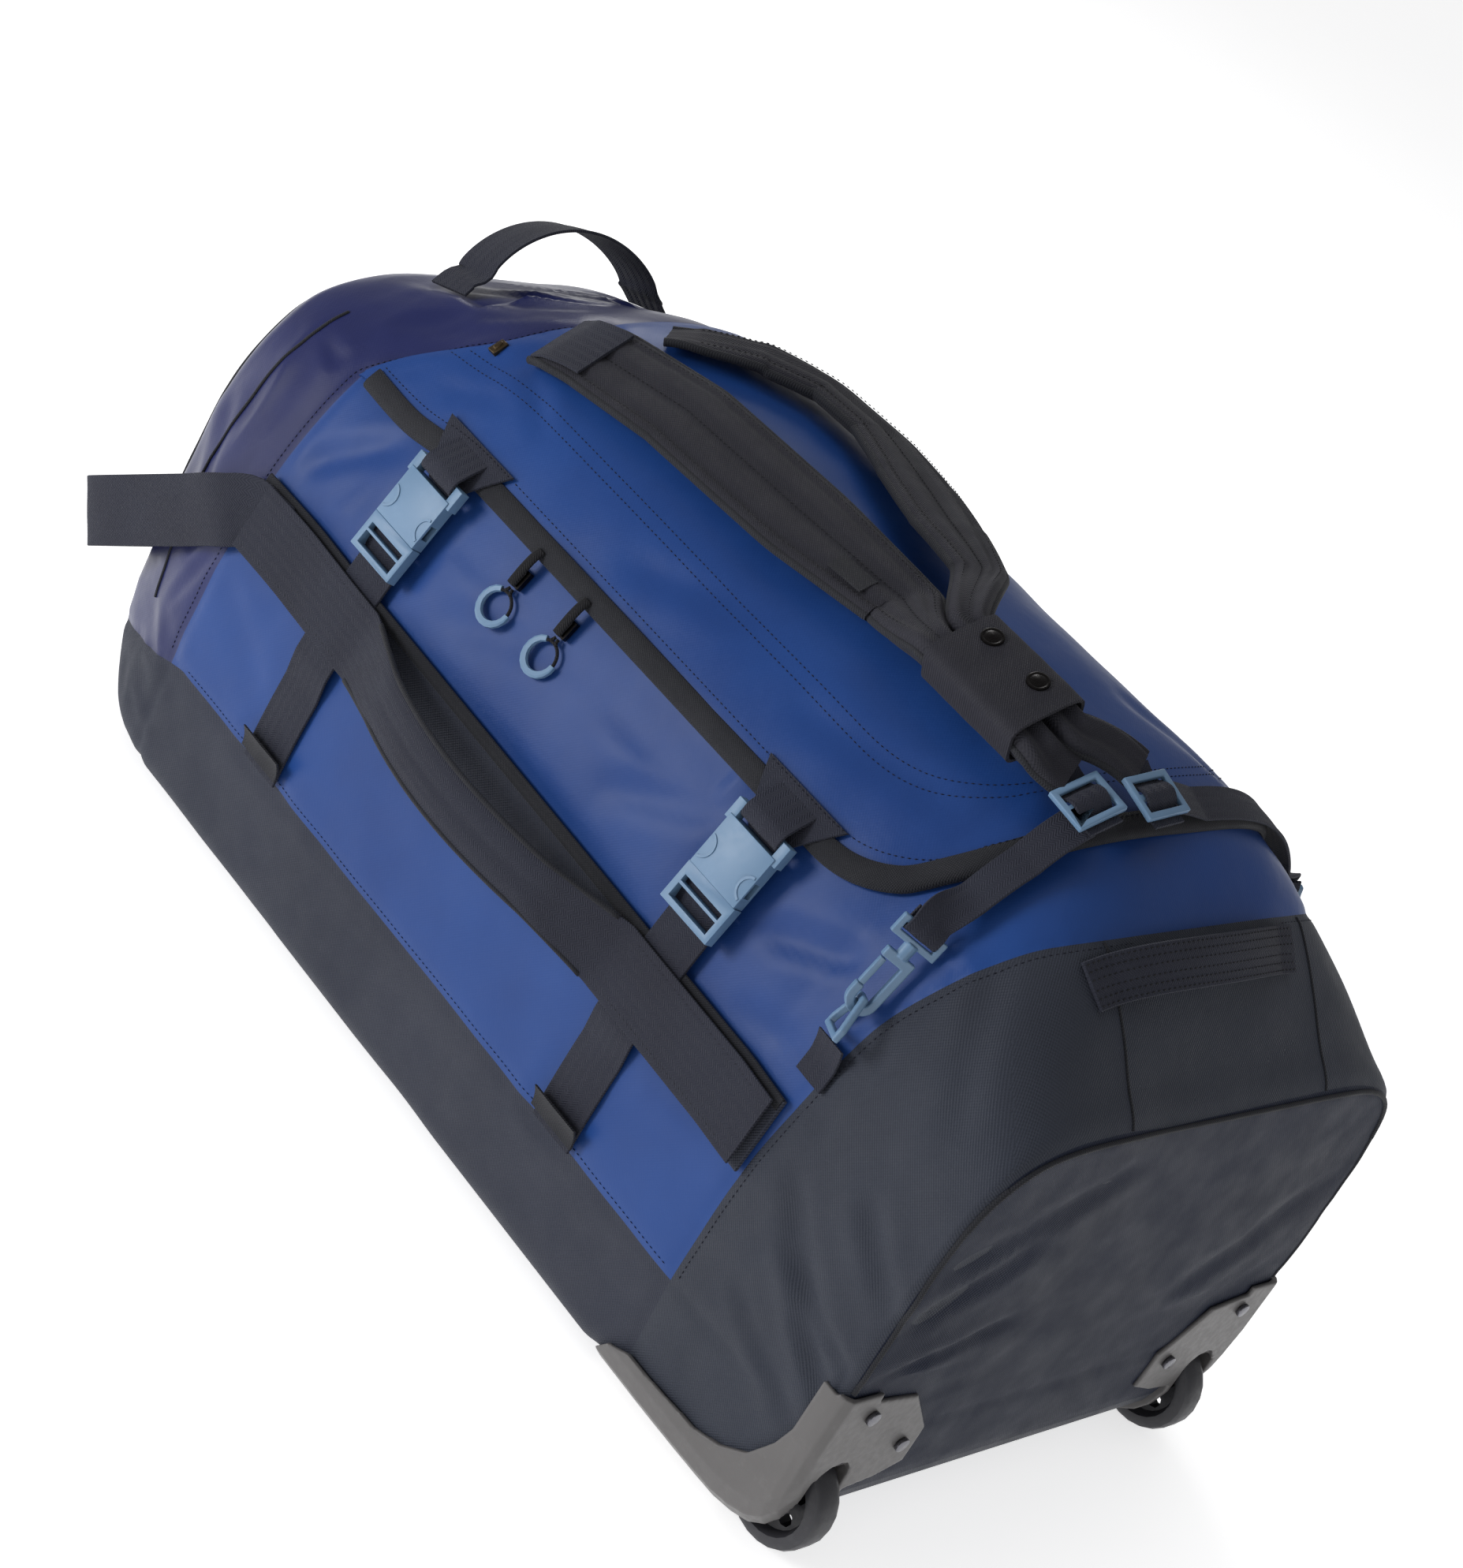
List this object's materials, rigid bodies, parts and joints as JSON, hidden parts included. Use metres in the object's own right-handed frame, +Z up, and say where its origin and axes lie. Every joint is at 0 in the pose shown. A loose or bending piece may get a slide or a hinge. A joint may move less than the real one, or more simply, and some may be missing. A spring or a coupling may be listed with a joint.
{
  "type": "rolling duffel bag",
  "caption": "Soft-sided travel duffel lying on its base, with wheels at one end, a zipped flap lid, compression straps, carry handles and stowable padded backpack straps.",
  "frame": {"origin": "on the floor, in the middle of the overall length and width", "axes": "+X points to the wheel end, -Y is the side with the main zip pulls, +Z is up from the base the bag lies on"},
  "size_m": [0.9216, 0.5276, 0.4924],
  "materials": {
    "blue_shell": "coated fabric, satin",
    "navy_shell": "coated fabric, satin",
    "charcoal_shell": "dense woven, matt",
    "webbing": "woven webbing, matt",
    "buckle_plastic": "light blue moulding, satin gloss",
    "guard_plastic": "graphite moulding, satin",
    "wheel_plastic": "dark moulding, satin",
    "steel": "plated, satin",
    "board": "sheet, matt"
  },
  "bodies": {
    "shell": {"bottom_gusset": "charcoal_shell", "side_panel_left": "blue_shell", "side_panel_right": "blue_shell", "end_cap": "navy_shell", "wheel_boot": "charcoal_shell", "base_board": "board", "boot_handle": "webbing", "side_band_left": "charcoal_shell", "grab_handle_left": "webbing", "side_strap_far_left": "webbing", "side_strap_near_left": "webbing", "corner_guard_left": "guard_plastic", "guard_screw_left_1": "steel", "guard_screw_left_2": "steel", "backing_plate_left": "board", "axle_left": "steel", "ring_tab_left": "webbing", "side_band_right": "charcoal_shell", "grab_handle_right": "webbing", "side_strap_far_right": "webbing", "side_strap_near_right": "webbing", "corner_guard_right": "guard_plastic", "guard_screw_right_1": "steel", "guard_screw_right_2": "steel", "backing_plate_right": "board", "axle_right": "steel", "ring_tab_right": "webbing"},
    "lid": {"lid_panel": "blue_shell", "lid_binding": "webbing", "strap_wrap": "webbing", "buckle_socket_far_left": "buckle_plastic", "buckle_socket_near_left": "buckle_plastic", "pack_strap_left": "webbing", "ladder_lock_left": "buckle_plastic", "strap_webbing_left": "webbing", "buckle_socket_far_right": "buckle_plastic", "buckle_socket_near_right": "buckle_plastic", "pack_strap_right": "webbing", "ladder_lock_right": "buckle_plastic", "strap_webbing_right": "webbing"},
    "haul_handle": {"haul_handle": "webbing"},
    "tow_handle": {"tow_handle": "webbing"},
    "wheel_left": {"wheel_left": "wheel_plastic"},
    "buckle_plug_far_left": {"buckle_plug_far_left": "buckle_plastic"},
    "buckle_plug_near_left": {"buckle_plug_near_left": "buckle_plastic"},
    "snap_hook_left": {"snap_hook_left": "buckle_plastic"},
    "hook_gate_left": {"hook_gate_left": "buckle_plastic"},
    "strap_ring_left": {"strap_ring_left": "buckle_plastic"},
    "wheel_right": {"wheel_right": "wheel_plastic"},
    "buckle_plug_far_right": {"buckle_plug_far_right": "buckle_plastic"},
    "buckle_plug_near_right": {"buckle_plug_near_right": "buckle_plastic"},
    "snap_hook_right": {"snap_hook_right": "buckle_plastic"},
    "hook_gate_right": {"hook_gate_right": "buckle_plastic"},
    "strap_ring_right": {"strap_ring_right": "buckle_plastic"},
    "zip_slider_far": {"zip_slider_far": "wheel_plastic"},
    "zip_slider_near": {"zip_slider_near": "wheel_plastic"},
    "zip_pull_far": {"zip_pull_far": "buckle_plastic"},
    "zip_pull_near": {"zip_pull_near": "buckle_plastic"},
    "zip_slider_pocket": {"zip_slider_pocket": "wheel_plastic"}
  },
  "joints": [
    {"name": "lid_hinge", "type": "hinge", "parent": "shell", "child": "lid", "pos_m": [-0.234, 0, 0.443], "axis": [0, -1, 0], "range_deg": [0, 100]},
    {"name": "wheel_spin_left", "type": "hinge", "parent": "shell", "child": "wheel_left", "pos_m": [0.425, -0.186, 0.036], "axis": [0, 1, 0], "continuous": true},
    {"name": "buckle_release_far_left", "type": "slide", "parent": "lid", "child": "buckle_plug_far_left", "axis": [0, -0.3269, -0.9451], "range_m": [0, 0.0175]},
    {"name": "buckle_release_near_left", "type": "slide", "parent": "lid", "child": "buckle_plug_near_left", "axis": [0, -0.3256, -0.9455], "range_m": [0, 0.0175]},
    {"name": "hook_swivel_left", "type": "hinge", "parent": "lid", "child": "snap_hook_left", "pos_m": [0.30247, -0.18596, 0.35085], "axis": [0, 0.3806, 0.9247], "range_deg": [-20, 20]},
    {"name": "hook_gate_left", "type": "hinge", "parent": "snap_hook_left", "child": "hook_gate_left", "pos_m": [0.29744, -0.19481, 0.34432], "axis": [0.749, -0.6127, 0.2522], "range_deg": [0, 25], "stiffness_Nm_per_rad": 0.01, "springref_deg": -11.46},
    {"name": "ring_swing_left", "type": "hinge", "parent": "lid", "child": "strap_ring_left", "pos_m": [0.30247, -0.20918, 0.29444], "axis": [0.749, -0.6127, 0.2522], "range_deg": [-3, 3]},
    {"name": "wheel_spin_right", "type": "hinge", "parent": "shell", "child": "wheel_right", "pos_m": [0.425, 0.186, 0.036], "axis": [0, 1, 0], "continuous": true},
    {"name": "buckle_release_far_right", "type": "slide", "parent": "lid", "child": "buckle_plug_far_right", "axis": [0, 0.3269, -0.9451], "range_m": [0, 0.0175]},
    {"name": "buckle_release_near_right", "type": "slide", "parent": "lid", "child": "buckle_plug_near_right", "axis": [0, 0.3256, -0.9455], "range_m": [0, 0.0175]},
    {"name": "hook_swivel_right", "type": "hinge", "parent": "lid", "child": "snap_hook_right", "pos_m": [0.30247, 0.18596, 0.35085], "axis": [0, -0.3806, 0.9247], "range_deg": [-20, 20]},
    {"name": "hook_gate_right", "type": "hinge", "parent": "snap_hook_right", "child": "hook_gate_right", "pos_m": [0.3061, 0.19572, 0.3447], "axis": [-0.8788, 0.4413, 0.1816], "range_deg": [0, 25], "stiffness_Nm_per_rad": 0.01, "springref_deg": -11.46},
    {"name": "ring_swing_right", "type": "hinge", "parent": "lid", "child": "strap_ring_right", "pos_m": [0.30247, 0.20918, 0.29444], "axis": [-0.8788, 0.4413, 0.1816], "range_deg": [-3, 3]},
    {"name": "zip_run_far", "type": "slide", "parent": "shell", "child": "zip_slider_far", "axis": [1, 0, 0], "range_m": [-0.045, 0.02]},
    {"name": "zip_run_near", "type": "slide", "parent": "shell", "child": "zip_slider_near", "axis": [1, 0, 0], "range_m": [0, 0.14]},
    {"name": "zip_pull_far", "type": "hinge", "parent": "zip_slider_far", "child": "zip_pull_far", "pos_m": [-0.083, -0.18296, 0.31839], "axis": [-1, 0, 0], "range_deg": [0, 80]},
    {"name": "zip_pull_near", "type": "hinge", "parent": "zip_slider_near", "child": "zip_pull_near", "pos_m": [-0.031, -0.18296, 0.31839], "axis": [-1, 0, 0], "range_deg": [0, 80]},
    {"name": "pocket_zip_run", "type": "hinge", "parent": "shell", "child": "zip_slider_pocket", "pos_m": [-0.238, 0, 0.25], "axis": [-1, 0, 0], "range_deg": [0, 60]},
    {"name": "haul_handle_swing", "type": "hinge", "parent": "shell", "child": "haul_handle", "pos_m": [-0.33112, 0, 0.40298], "axis": [0, 1, 0], "range_deg": [-25, 25]},
    {"name": "tow_handle_swing", "type": "hinge", "parent": "shell", "child": "tow_handle", "pos_m": [-0.3, 0, 0.222], "axis": [0, 1, 0], "range_deg": [0, 75]}
  ]
}
